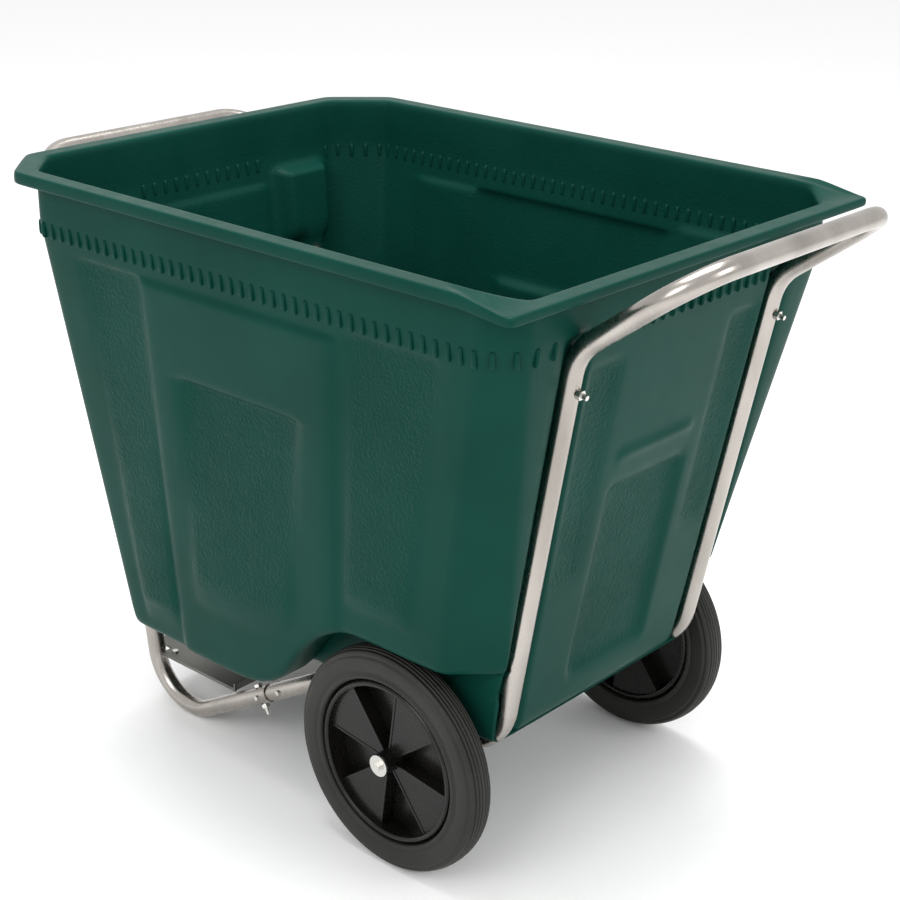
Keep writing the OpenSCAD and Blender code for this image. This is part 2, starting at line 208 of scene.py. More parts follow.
def mouldedFinish(name, look):
    # rubber or plastic: a slow change of shade, and a fine speck in the gloss and the relief
    material, tree, shader, place = startMaterial(name)
    stain = addNoise(tree, place, *look["stain"])
    shade = addRange(tree, stain, 0, 1, *look["stainRange"])
    tree.links.new(addColourMix(tree, shade, look["colour"], look["second"]), shader.inputs["Base Color"])
    speck = addNoise(tree, place, *look["speck"])
    tree.links.new(addRange(tree, speck, *look["rough"]), shader.inputs["Roughness"])
    shader.inputs["Specular IOR Level"].default_value = look["specular"]
    tree.links.new(addBump(tree, speck, look["bump"]), shader.inputs["Normal"])
    return material


# stain and speck are a noise scale and its detail
tyreLook = {
    "colour": (0.011, 0.0108, 0.0085), "second": (0.018, 0.0172, 0.0138), "stain": (16, 5),
    "stainRange": (0.35, 0.75), "speck": (700, 2), "rough": (0.42, 0.6), "specular": 0.32, "bump": 0.00012,
}
hubLook = {
    "colour": (0.0035, 0.0035, 0.003), "second": (0.007, 0.0066, 0.0055), "stain": (18, 4),
    "stainRange": (0.3, 0.7), "speck": (520, 2), "rough": (0.2, 0.32), "specular": 0.3, "bump": 0.00005,
}
bushLook = {
    "colour": (0.7, 0.68, 0.62), "second": (0.6, 0.58, 0.52), "stain": (90, 3),
    "stainRange": (0.3, 0.7), "speck": (90, 3), "rough": (0.4, 0.55), "specular": 0.5, "bump": 0.00005,
}

greenPlastic = tubPlastic()
tubeSteel = metalFinish("tubeSteel", (0.45, 0.42, 0.388), (0.29, 0.268, 0.245), 0.25, 60,
                        (1, 1, 0.3), 0.000004)
# both colours of the plate's steel are painted very dark: painted shade and painted reflection of the dark
# green tub hanging over the plate, in place of the steel's own lighter grey
plateSteelPaintedShade = metalFinish("plateSteelPaintedShade", (0.17, 0.17, 0.155), (0.12, 0.12, 0.11), 0.36)
boltZinc = metalFinish("boltZinc", (0.72, 0.71, 0.68), (0.52, 0.51, 0.48), 0.22, 400)
tyreRubber = mouldedFinish("tyreRubber", tyreLook)
hubPlastic = mouldedFinish("hubMoulding", hubLook)
bushNylon = mouldedFinish("bushNylon", bushLook)
slotFinish = {
    "tub_plastic": greenPlastic, "tube_steel": tubeSteel, "plate_steel": plateSteelPaintedShade, "bolt_zinc": boltZinc,
    "tyre_rubber": tyreRubber, "hub_plastic": hubPlastic, "bush_plastic": bushNylon,
}
for part in frame["record"]["subparts"]:
    cadMesh = nodes[part["node"]].data
    cadMesh.materials.clear()
    cadMesh.materials.append(slotFinish[part["material_slot"]])
print("stage: materials made for", len(slotFinish), "finishes")


# Tub: half widths, places along Y from the axle, heights above the floor and depths in mm, slopes in degrees
tub = {
    "collarHalf": 328, "collarFront": 629, "collarRear": -237, "collarZ": 762,
    "rimHalf": 353, "rimFront": 654, "rimRear": -262, "rimChamferFront": 71, "rimChamferRear": 5,
    "rearDrop": 11, "dropStart": -196, "dropRun": 34, "dropFoot": 790, "dropTall": 40,
    "sideDraft": 7.3, "frontDraft": 6.5, "rearDraft": 10.83,
    "chamferFront": 61, "chamferRear": 37, "chamferRearGrowth": 0.045, "collarTop": 800,
    "bottom": 158, "rearBottom": 199, "wellTop": 310, "wellHalf": 206,
    "archY": 45, "archZ": 170, "archTurn": 0.94, "archEnd": 273, "archFlare": 2.2,
    "wall": 4, "bendRows": 360, "footReach": 60, "footInset": 0.9, "insideGrain": 0.25,
    "legX": 183.3, "legSpread": 0.0232, "slotLand": 3,
    "slotHalf": 22, "slotDeep": 15.9, "slotRearLess": 3.3, "slotFrontTop": 738, "slotRearTop": 753,
    "legBendY": -60, "legBendZ": 261, "legBendRadius": 60.3,
    "sideRadius": 13, "frontRadius": 58, "rearRadius": 16,
}


def tubeX(z):
    # the tubes stand a little wider apart towards the top
    return tub["legX"] + tub["legSpread"] * z


def lean(degrees):
    return math.tan(math.radians(degrees))


def belowCollar(z):
    return max(0, tub["collarZ"] - z)


def halfWidth(z):
    return tub["collarHalf"] - belowCollar(z) * lean(tub["sideDraft"])


def frontY(z):
    return tub["collarFront"] - belowCollar(z) * lean(tub["frontDraft"])


def rearY(z):
    return tub["collarRear"] + belowCollar(z) * lean(tub["rearDraft"])


def risen(z):
    # share of the way from the tub's bottom to the collar
    return (min(z, tub["collarZ"]) - tub["bottom"]) / (tub["collarZ"] - tub["bottom"])


def sloping(top, low):
    # a line up the wall, given by its place at the collar and at the bottom
    return lambda z: mix(low, top, risen(z))


def slotLine(side):
    return lambda z: tubeX(z) + side


def rearB(z):
    # the rear corner's end on the side wall
    return rearY(z) + tub["chamferRear"] + belowCollar(z) * tub["chamferRearGrowth"]


def rearA(z):
    # the rear corner's end on the rear wall, never closer to the tube's slot than a small land
    corner = halfWidth(z) - tub["chamferRear"] - belowCollar(z) * tub["chamferRearGrowth"]
    return max(corner, tubeX(z) + tub["slotHalf"] + tub["slotLand"])


# The columns run round one half of the tub, from the middle of the front to the middle of the rear.
# Each has its wall, its name, and its place along the wall as a function of height.
frontA = sloping(267, 214)
frontB = sloping(568, 513)
slotColumns = [(name, slotLine(side)) for name, side in (
    ("slotA", -22), ("slotB", -17), ("slotC", -6), ("slotD", 6), ("slotE", 17), ("slotF", 22))]
columns = [("front", name, line) for name, line in (
    ("f0", sloping(0, 0)), ("f1", sloping(30, 28)), ("f2", sloping(62, 58)), ("f3", sloping(94, 88)),
    ("crestOut", sloping(118, 110)), ("crestIn", sloping(124, 116)), ("pocketOut", sloping(141, 133)),
    ("pocketIn", sloping(149, 141)), ("f8", sloping(164, 152)),
    *slotColumns, ("pocketEnd", sloping(230, 212.5)), ("f16", sloping(240, 213)),
    ("f17", lambda z: frontA(z) - 3.6 * (z - tub["bottom"]) / (tub["collarZ"] - tub["bottom"]) - 0.5))]
columns += [("chamferFront", "c%d" % k, t) for k, t in enumerate((0.05, 0.5, 0.95))]
columns += [("side", name, line) for name, line in (
    ("s0", sloping(564.5, 510)), ("bevelA", sloping(536, 489)), ("bevelB", sloping(529, 483)),
    ("frontPanelA", sloping(490, 480)), ("frontPanelB", sloping(483, 473)), ("s5", sloping(430, 445)),
    ("frontPanelC", sloping(377, 410)), ("frontPanelD", sloping(370, 404)),
    ("raisedA", sloping(362, 397)), ("s9", sloping(340, 384)), ("recessA", sloping(303, 361)),
    ("recessB", sloping(295, 352)), ("s12", sloping(260, 320)), ("s13", sloping(190, 270)),
    ("s14", sloping(125, 225)),
    ("recessC", sloping(78, 192)), ("recessD", sloping(70, 182)), ("s17", sloping(46, 142)),
    ("raisedB", sloping(24, 106)), ("raisedEnd", sloping(15, 96)), ("rearPanelA", sloping(-2, 84)),
    ("rearPanelB", sloping(-9, 76)), ("s22", sloping(-50, 50)), ("s23", sloping(-95, 24)),
    ("rearPanelC", sloping(-138, 0)), ("rearPanelD", sloping(-145, -8)),
    ("s26", lambda z: mix(rearB(z), -145 + belowCollar(z) * 0.2268, 0.1)))]
columns += [("chamferRear", "k%d" % k, t) for k, t in enumerate((0.07, 0.5, 0.93))]
columns += [("rear", name, line) for name, line in (
    ("r0", lambda z: mix(rearA(z), tubeX(z) + tub["slotHalf"], 0.08)),
    ("strip", lambda z: mix(rearA(z), tubeX(z) + tub["slotHalf"], 0.6)),
    *reversed(slotColumns),
    ("rearSideA", sloping(172, 152)), ("rearSideB", sloping(165, 145)), ("r10", sloping(140, 126)),
    ("rearSideC", sloping(116, 106)), ("rearSideD", sloping(109, 100)), ("r13", sloping(90, 88)),
    ("trapezeA", sloping(76, 79)), ("trapezeB", sloping(69, 72)), ("r16", sloping(46, 48)),
    ("r17", sloping(22, 23)), ("r18", sloping(0, 0)))]
columnIndex = {(wall, name): k for k, (wall, name, line) in enumerate(columns)}

# Moulded features: wall, first and last column of the flat, bottom and top of the flat, depth at the bottom
# and at the top (minus stands out), pebbled
reliefs = [
    ("side", "frontPanelB", "frontPanelC", 200, 228, 0, -7, 0),
    ("side", "frontPanelB", "frontPanelC", 236, 722, -8, 6, 1),
    ("side", "raisedA", "raisedB", 159, 722, -6, -6, 0),
    ("side", "recessB", "recessC", 262, 285, 0, -6, 0),
    ("side", "recessB", "recessC", 315, 598, -5, 12, 1),
    ("side", "rearPanelB", "rearPanelC", 340, 376, 0, -7, 0),
    ("side", "rearPanelB", "rearPanelC", 384, 732, -8, 6, 1),
    ("front", "f0", "crestOut", 240, 722, 4.5, 4.5, 1),
    ("front", "pocketIn", "pocketEnd", 640, 738, 22, 22, 0),
    ("rear", "rearSideB", "rearSideC", 420, 704, 3, 5, 1),
    ("rear", "trapezeB", "r18", 236, 522, 9, 9, 1),
    ("rear", "trapezeB", "r18", 566, 572, -4, -4, 0),
]

# Heights of the points up the wall, and the steps round its lower edge as shares of the edge's radius
rows = [184, 200, 228, 236, 250, 262, 285, 315, 340, 360, 376, 384, 408, 420, 455, 490, 516, 522, 530, 558,
        566, 572, 580, 590, 598, 602, 612, 630, 640, 665, 690, 704, 712, 722, 726, 732,
        738, 744, 753, 762, 775, 795]
edgeSteps = (0.0, 0.16, 0.45)


def archHeight(y):
    # height of the tub's lower edge along the side; from the rear it's level, then an arc over the wheel,
    # then a flare down to the tub's bottom
    if y >= tub["archEnd"]:
        return tub["bottom"]
    if y <= tub["archY"]:
        return tub["wellTop"]
    radius = tub["wellTop"] - tub["archZ"]
    turnY = tub["archY"] + radius * tub["archTurn"]
    if y < turnY:
        return tub["archZ"] + math.sqrt(radius ** 2 - (y - tub["archY"]) ** 2)
    low = tub["archZ"] + radius * math.sqrt(1 - tub["archTurn"] ** 2)
    t = (y - turnY) / (tub["archEnd"] - turnY)
    return tub["bottom"] + (low - tub["bottom"]) * (1 - t) ** tub["archFlare"]


def turnAway(first, middle, last, t):
    # outward direction across a corner
    return middle.lerp(last, max(0, t * 2 - 1)).lerp(first, max(0, 1 - t * 2)).normalized()


def columnBase(column, z):
    wall, name, line = column
    hw, yf, yr = halfWidth(z), frontY(z), rearY(z)
    if wall == "front":
        return Vector((line(z), yf)), Vector((0, 1))
    if wall == "rear":
        return Vector((line(z), yr)), Vector((0, -1))
    if wall == "side":
        return Vector((hw, line(z))), Vector((1, 0))
    if wall == "chamferFront":
        place = Vector((frontA(z), yf)).lerp(Vector((hw, frontB(z))), line)
        return place, turnAway(Vector((0, 1)), Vector((1, 1)), Vector((1, 0)), line)
    place = Vector((hw, rearB(z))).lerp(Vector((rearA(z), yr)), line)
    return place, turnAway(Vector((1, 0)), Vector((1, -1)), Vector((0, -1)), line)


def rimPlace(column):
    # where a column meets the rim's outer edge, in proportion to its place along the collar
    wall, name, line = column
    half, front, rear = tub["rimHalf"], tub["rimFront"], tub["rimRear"]
    cf, cr = tub["rimChamferFront"], tub["rimChamferRear"]
    if wall == "front":
        return Vector((line(tub["collarZ"]) / (tub["collarHalf"] - tub["chamferFront"]) * (half - cf), front))
    if wall == "rear":
        return Vector((line(tub["collarZ"]) / (tub["collarHalf"] - tub["chamferRear"]) * (half - cr), rear))
    if wall == "side":
        low, high = tub["collarRear"] + tub["chamferRear"], tub["collarFront"] - tub["chamferFront"]
        t = (line(tub["collarZ"]) - low) / (high - low)
        return Vector((half, mix(rear + cr, front - cf, t)))
    if wall == "chamferFront":
        return Vector((half - cf, front)).lerp(Vector((half, front - cf)), line)
    return Vector((half, rear + cr)).lerp(Vector((half - cr, rear)), line)


def bottomOf(column):
    wall, name, line = column
    if wall in ("front", "chamferFront"):
        return tub["bottom"]
    if wall == "chamferRear" or (wall == "rear" and name in ("r0", "strip", "slotF")):
        return tub["wellTop"]
    if wall == "rear":
        return tub["rearBottom"]
    height = tub["bottom"]
    for k in range(6):  # the lower edge depends on y, and y on the height
        height = archHeight(line(height))
    return height


def edgeRadius(column):
    wall, name, line = column
    if wall == "front":
        return tub["frontRadius"]
    if wall == "chamferFront":
        return mix(tub["frontRadius"], tub["sideRadius"], line)
    return tub["rearRadius"] if wall == "rear" else tub["sideRadius"]


def reliefAt(k, column, rowZ, z):
    # depth of the moulded features at a point, and how strongly it's pebbled
    wall, name, line = column
    depth, pebbled = 0.0, 0.0
    for where, first, last, low, high, deepLow, deepHigh, grain in reliefs:
        inside = wall == where and columnIndex[(where, first)] <= k <= columnIndex[(where, last)]
        if inside and low <= rowZ <= high:
            depth += mix(deepLow, deepHigh, (rowZ - low) / (high - low))
            pebbled = grain
    inSlot = name in ("slotB", "slotC", "slotD", "slotE")
    if inSlot and wall == "front" and rowZ <= tub["slotFrontTop"]:
        depth = max(depth, tub["slotDeep"])
        pebbled = 0
    if inSlot and wall == "rear" and rowZ <= tub["slotRearTop"]:
        depth, pebbled = tub["slotDeep"] - tub["slotRearLess"], 0
        if z < tub["legBendZ"] + 1:  # the slot follows the leg's bend forward under the tub
            across = math.sqrt(max(tub["legBendRadius"] ** 2 - (tub["legBendZ"] - z) ** 2, 0))
            depth = max(depth, tub["legBendY"] - across - rearY(z))
    return depth, pebbled


def rowHeight(column, rowZ):
    # rows above the bend stay level and the lower ones close up over the wheel arch
    if rowZ >= tub["bendRows"]:
        return rowZ
    low = bottomOf(column)
    start = low + edgeRadius(column)
    return mix(start, tub["bendRows"], (rowZ - rows[0]) / (tub["bendRows"] - rows[0]))


# Section of the rim: share of the way from the collar to the outer edge, and height
rimProfile = ((0, 808), (0, 818), (0.05, 823.5), (0.2, 825.6), (0.7, 825.6), (0.83, 824.5), (0.86, 820),
              (0.86, 816.5), (0.89, 814.2), (0.94, 813.6), (0.985, 815), (1.0, 818.5), (1.0, 823.5),
              (0.985, 827.4), (0.94, 829.3), (0.86, 829.9), (0.5, 829.4), (0.12, 829.6), (-0.02, 829.4),
              (-0.1, 827.6), (-0.15, 823), (-0.16, 815))


def rearDrop(y, z):
    # the rim runs lower across the rear
    if z < tub["dropFoot"]:
        return z
    drop = tub["rearDrop"] * ease((tub["dropStart"] - y) / tub["dropRun"])
    return z - drop * (z - tub["dropFoot"]) / tub["dropTall"]


def tubColumn(k, column):
    # one column's points from the foot of the outer skin, over the rim and down to the floor
    points = []
    low, radius, wall = bottomOf(column), edgeRadius(column), tub["wall"]

    def put(place, z, pebbled=0.0):
        points.append(((place.x, place.y, rearDrop(place.y, z)), pebbled))

    def inward(z, reach):
        place, out = columnBase(column, z)
        depth, pebbled = reliefAt(k, column, rows[0], z)
        if column[0] in ("side", "chamferRear") or column[1] in ("r0", "strip"):
            return Vector((mix(place.x, tub["wellHalf"] - 2, reach), place.y))
        return place - out * (depth + tub["footReach"] * reach)

    def roundedEdge(step, thick):
        h = step * radius
        z = low + h + thick
        place, out = columnBase(column, z)
        depth, pebbled = reliefAt(k, column, rows[0], z)
        inset = radius - math.sqrt(radius ** 2 - (radius - h) ** 2)
        put(place - out * (min(inset, radius * tub["footInset"]) + depth + thick), z)

    for reach in (1.0, 0.35):
        put(inward(low, reach), low)
    for step in edgeSteps:
        roundedEdge(step, 0)
    for rowZ in rows:
        z = rowHeight(column, rowZ)
        place, out = columnBase(column, z)
        depth, pebbled = reliefAt(k, column, rowZ, z)
        put(place - out * depth, z, pebbled)
    collar, out = columnBase(column, tub["collarTop"])
    outer = rimPlace(column)
    for reach, z in rimProfile:
        put(collar + (outer - collar) * reach, z)
    for rowZ in reversed(rows):
        z = max(rowHeight(column, rowZ), low + wall)
        place, out = columnBase(column, z)
        depth, pebbled = reliefAt(k, column, rowZ, z)
        put(place - out * (depth + wall), z, tub["insideGrain"])
    for step in reversed(edgeSteps):
        roundedEdge(step, wall)
    for reach in (0.35, 1.0):
        put(inward(low, reach), low + wall)
    return points


# Underbody: the floor pan is higher at the rear and slopes down to the tub's bottom
underbody = {
    "stations": (-129, -90, -40, 10, 45, 75, 105, 130, 150, 165, 178, 192, 205, 220, 240, 262, 276, 330, 400,
                 480, 556),
    "cheek": 208, "wall": 4, "corner": 14, "panel": 70, "overlap": 2, "lip": 8, "rearGap": 3,
    "rearFloor": 198.5, "slopeStart": 200, "slopeRun": 70,
}


def floorHeight(y):
    # height of the floor's underside between the wheels
    t = (y - underbody["slopeStart"]) / underbody["slopeRun"]
    return mix(underbody["rearFloor"], tub["bottom"], max(0.0, min(1.0, t)))


def makeUnderbody(points, faces):
    # floor pan and the inner cheeks of the wheel wells, as one closed channel running from rear to front
    first = len(points)
    half, wall, corner = underbody["cheek"], underbody["wall"], underbody["corner"]
    panel, rearmost = underbody["panel"], underbody["stations"][0]
    sections = []
    for y in underbody["stations"]:
        low = floorHeight(y)
        top = max(archHeight(y) + underbody["overlap"], low + corner + underbody["lip"])
        outer = [(half, top), (half, low + corner), (half - wall, low + wall), (half - corner, low),
                 (half - panel, low), (panel, low)]
        inner = [(x - wall * (x > half / 2), z + wall) for x, z in outer[1:]]
        inner = [(half - wall, top)] + inner
        outline = outer + [(-x, z) for x, z in reversed(outer)] + [(-x, z) for x, z in inner]
        outline += list(reversed(inner))
        sections.append([(x, rearY(z) + underbody["rearGap"] if y == rearmost else y, z) for x, z in outline])
    size = len(sections[0])
    for section in sections:
        points += [((x, y, z), 0.0) for x, y, z in section]
    for k in range(len(sections) - 1):
        for n in range(size):
            a, b = first + k * size + n, first + k * size + (n + 1) % size
            faces.append((a, b, b + size, a + size))
    for start in (first, first + (len(sections) - 1) * size):
        for n in range(size // 2 - 1):
            faces.append((start + n, start + n + 1, start + size - 2 - n, start + size - 1 - n))


def makeTub():
    half = [tubColumn(k, column) for k, column in enumerate(columns)]
    mirrored = [[((-x, y, z), grain) for (x, y, z), grain in half[k]] for k in range(len(half) - 2, 0, -1)]
    ring = half + mirrored
    mesh = bpy.data.meshes.new("tubMoulding")
    count, tall = len(ring), len(ring[0])
    points = [point for column in ring for point in column]
    faces = []
    for c in range(count):
        d = (c + 1) % count
        for r in range(tall):
            s = (r + 1) % tall
            faces.append((c * tall + r, c * tall + s, d * tall + s, d * tall + r))
    makeUnderbody(points, faces)
    mesh.from_pydata([(x * mm, y * mm + axleY, z * mm) for (x, y, z), grain in points], [], faces)
    grainLayer = mesh.attributes.new("pebble", "FLOAT", "POINT")
    for index, (place, grain) in enumerate(points):
        grainLayer.data[index].value = grain
    build = bmesh.new()
    build.from_mesh(mesh)
    bmesh.ops.recalc_face_normals(build, faces=build.faces)
    build.to_mesh(mesh)
    build.free()
    smoothAll(mesh)
    mesh.materials.append(greenPlastic)
    piece = newObject("tubMoulding", mesh)
    subdivide = piece.modifiers.new("soften", "SUBSURF")
    subdivide.levels = subdivide.render_levels = 1
    flattenNormals(piece)
    settle(piece, "chassis")
    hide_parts("tub")
    return piece


tubPiece = makeTub()
print("stage: tub", len(tubPiece.data.polygons), "faces")


# Moulded stitch ribs round the foot of the collar; the tubes' slots leave gaps in the rows
ribs = {
    "pitch": 18.0, "low": 741.5, "high": 762.5, "width": 5.4, "proud": 2.8, "root": 3, "sunk": 0.8,
    "frontInner": 118, "rearInner": 172, "outer": 232, "endGap": 6, "vary": 0.03, "seed": 4,
}


def ribShape():
    # one upright rib, standing out along +X, rounded towards its top and its face
    build = bmesh.new()
    rings = []
    tall = ribs["high"] - ribs["low"]
    for z, reach, half in ((-tall / 2, 0.3, 0.7), (-tall / 2 + 2, 0.8, 1.0), (-tall / 2 + 6, 1.0, 1.0),
                           (tall / 2 - 4, 1.0, 1.0), (tall / 2 - 1.2, 0.75, 0.9), (tall / 2, 0.2, 0.6)):
        w, d = ribs["width"] / 2 * half, ribs["proud"] * reach
        outline = ((-ribs["root"], -w), (d * 0.6, -w), (d * 0.93, -w * 0.62), (d, 0), (d * 0.93, w * 0.62),
                   (d * 0.6, w), (-ribs["root"], w))
        rings.append([build.verts.new((x * mm, y * mm, z * mm)) for x, y in outline])
    for a, b in zip(rings, rings[1:]):
        for n in range(len(a)):
            m = (n + 1) % len(a)
            build.faces.new((a[n], a[m], b[m], b[n]))
    build.faces.new(list(reversed(rings[0])))
    build.faces.new(rings[-1])
    bmesh.ops.recalc_face_normals(build, faces=build.faces)
    mesh = bpy.data.meshes.new("ribShape")
    build.to_mesh(mesh)
    build.free()
    smoothAll(mesh)
    return bpy.data.objects.new("ribShape", mesh)


def ribPlaces():
    # where each rib stands and which way it faces, outside and inside the wall
    half, front, rear = tub["collarHalf"], tub["collarFront"], tub["collarRear"]
    cf, cr = tub["chamferFront"], tub["chamferRear"]
    spans = []
    for y, inner, corner, facing in ((front, ribs["frontInner"], cf, 1), (rear, ribs["rearInner"], cr, -1)):
        spans += [((-inner, y), (inner, y), (0, facing)),
                  ((ribs["outer"], y), (half - corner, y), (0, facing)),
                  ((-half + corner, y), (-ribs["outer"], y), (0, facing))]
    for side in (-1, 1):
        spans += [((side * half, rear + cr), (side * half, front - cf), (side, 0)),
                  ((side * (half - cf), front), (side * half, front - cf), (side, 1)),
                  ((side * (half - cr), rear), (side * half, rear + cr), (side, -1))]
    places = []
    for start, end, facing in spans:
        start, end, facing = Vector(start), Vector(end), Vector(facing).normalized()
        run = (end - start).length
        count = max(1, int((run - ribs["endGap"]) / ribs["pitch"]))
        for k in range(count):
            spot = start.lerp(end, (k + 0.5) / count)
            for inside in (0, 1):
                place = spot - facing * (ribs["sunk"] + tub["wall"] * inside)
                z = (ribs["low"] + ribs["high"]) / 2
                places.append(((place.x, place.y, z), facing * (1 - 2 * inside)))
    return places


def ribGroup(shape, material):
    # Geometry Nodes: a rib on every point, turned to the point's facing and varied a little in height
    group = bpy.data.node_groups.new("stitchRibs", "GeometryNodeTree")
    group.interface.new_socket("Geometry", in_out="INPUT", socket_type="NodeSocketGeometry")
    size = group.interface.new_socket("Rib size", in_out="INPUT", socket_type="NodeSocketFloat")
    size.default_value = 1.0
    seed = group.interface.new_socket("Seed", in_out="INPUT", socket_type="NodeSocketInt")
    seed.default_value = ribs["seed"]
    group.interface.new_socket("Geometry", in_out="OUTPUT", socket_type="NodeSocketGeometry")
    add, link = group.nodes.new, group.links.new
    start, end = add("NodeGroupInput"), add("NodeGroupOutput")
    facing = add("GeometryNodeInputNamedAttribute")
    facing.data_type = "FLOAT_VECTOR"
    facing.inputs["Name"].default_value = "facing"
    turn = add("FunctionNodeAlignRotationToVector")
    turn.axis = "X"
    link(facing.outputs["Attribute"], turn.inputs["Vector"])
    vary = add("FunctionNodeRandomValue")
    vary.data_type = "FLOAT"
    vary.inputs["Min"].default_value = 1 - ribs["vary"]
    vary.inputs["Max"].default_value = 1 + ribs["vary"]
    link(start.outputs["Seed"], vary.inputs["Seed"])
    scale = add("ShaderNodeMath")
    scale.operation = "MULTIPLY"
    link(start.outputs["Rib size"], scale.inputs[0])
    link(next(o for o in vary.outputs if o.enabled), scale.inputs[1])
    item = add("GeometryNodeObjectInfo")
    item.inputs["Object"].default_value = shape
    spread = add("GeometryNodeInstanceOnPoints")
    link(start.outputs["Geometry"], spread.inputs["Points"])
    link(item.outputs["Geometry"], spread.inputs["Instance"])
    link(turn.outputs["Rotation"], spread.inputs["Rotation"])
    link(scale.outputs["Value"], spread.inputs["Scale"])
    real = add("GeometryNodeRealizeInstances")
    link(spread.outputs["Instances"], real.inputs["Geometry"])
    paint = add("GeometryNodeSetMaterial")
    paint.inputs["Material"].default_value = material
    link(real.outputs["Geometry"], paint.inputs["Geometry"])
    link(paint.outputs["Geometry"], end.inputs["Geometry"])
    return group, size.identifier, seed.identifier


def makeRibs():
    places = ribPlaces()
    mesh = bpy.data.meshes.new("stitchRibs")
    mesh.from_pydata([(x * mm, y * mm + axleY, z * mm) for (x, y, z), facing in places], [], [])
    facingLayer = mesh.attributes.new("facing", "FLOAT_VECTOR", "POINT")
    for index, (place, facing) in enumerate(places):
        facingLayer.data[index].vector = (facing.x, facing.y, 0)
    piece = newObject("stitchRibs", mesh)
    shape = ribShape()
    group, sizeInput, seedInput = ribGroup(shape, greenPlastic)
    spread = piece.modifiers.new("spread", "NODES")
    spread.node_group = group
    spread[sizeInput] = 1.0
    spread[seedInput] = ribs["seed"]
    settle(piece, "chassis")
    bpy.data.objects.remove(shape)
    return piece


ribPiece = makeRibs()
print("stage: ribs", len(ribPiece.data.polygons), "faces")


# Wheels: sections are given as offset from the wheel's middle plane (outboard is plus) and radius
wheel = {
    "middle": 250, "segments": 144, "bossSegments": 48, "face": 10, "thick": 4,
    "fans": 8, "fanFirst": 30, "fanOut": 104, "fanIn": 13.5, "fanOutSpread": 22.3, "fanInSpread": 22,
    "fanStep": 5, "fanEdge": 0.7, "wallIn": 13, "wallOut": 103.5, "wallHalf": 1.3, "wallEdge": 0.6,
    "wallBack": 5.4, "wallProud": 0.9,
    "tyreHalf": ((13.5, 111.9), (17.2, 112.4), (19.4, 113.4), (20.5, 115.4), (20.3, 117.8), (18.7, 119.2),
                 (18.3, 121), (19.3, 122.8), (20.4, 126), (20.6, 133), (20.4, 139.5), (19.6, 141.6),
                 (17.9, 142.6),
                 (17.5, 143.6), (17.9, 145.2), (17.2, 147.2), (15.6, 149), (13.3, 150.2), (13.0, 147.2),
                 (11.6, 147.2), (11.3, 150.9), (8.6, 151.6), (8.3, 148.4), (6.9, 148.4), (6.6, 151.9),
                 (4.0, 152.2),
                 (3.7, 149), (2.3, 149), (2.0, 152.4)),
    "rim": ((-14.6, 111.8), (-18.2, 107.6), (-18.8, 106), (-18.2, 103.4), (-15.5, 101.9), (15.5, 101.9),
            (18.2, 103.4), (18.8, 106), (18.2, 107.6), (14.6, 111.8)),
    "boss": ((-26.9, 10.7), (-26.9, 13.6), (-25.9, 14.9), (25.9, 14.9), (26.9, 13.6), (26.9, 10.7)),
}


def lathe(build, profile, side, segments):
    rings = []
    for k in range(segments):
        angle = 2 * math.pi * k / segments
        rings.append([build.verts.new((side * (wheel["middle"] + t) * mm, r * math.cos(angle) * mm + axleY,
                                       r * math.sin(angle) * mm + axleZ)) for t, r in profile])
    for k in range(segments):
        a, b = rings[k], rings[(k + 1) % segments]
        for n in range(len(profile)):
            m = (n + 1) % len(profile)
            build.faces.new((a[n], a[m], b[m], b[n]))


def prism(build, outline, t0, t1, edge, side):
    # a closed plate across the wheel, with its edges eased; the outline is in the wheel's plane
    middle = sum((Vector(p) for p in outline), Vector((0, 0))) / len(outline)
    rings = []
    for t, shrink in ((t0, edge), (t0 + edge, 0), (t1 - edge, 0), (t1, edge)):
        ring = []
        for p in outline:
            spot = Vector(p) + (middle - Vector(p)).normalized() * shrink
            ring.append(build.verts.new((side * (wheel["middle"] + t) * mm, spot.x * mm + axleY,
                                         spot.y * mm + axleZ)))
        rings.append(ring)
    size = len(outline)
    for a, b in zip(rings, rings[1:]):
        for n in range(size):
            build.faces.new((a[n], a[(n + 1) % size], b[(n + 1) % size], b[n]))
    build.faces.new(list(reversed(rings[0])))
    build.faces.new(rings[-1])


def wheelPiece(name, build, body, material, node):
    bmesh.ops.recalc_face_normals(build, faces=build.faces)
    mesh = bpy.data.meshes.new(name)
    build.to_mesh(mesh)
    build.free()
    smoothAll(mesh)
    mesh.materials.append(material)
    piece = newObject(name, mesh)
    flattenNormals(piece)
    settle(piece, body)
    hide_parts(node)
    return piece


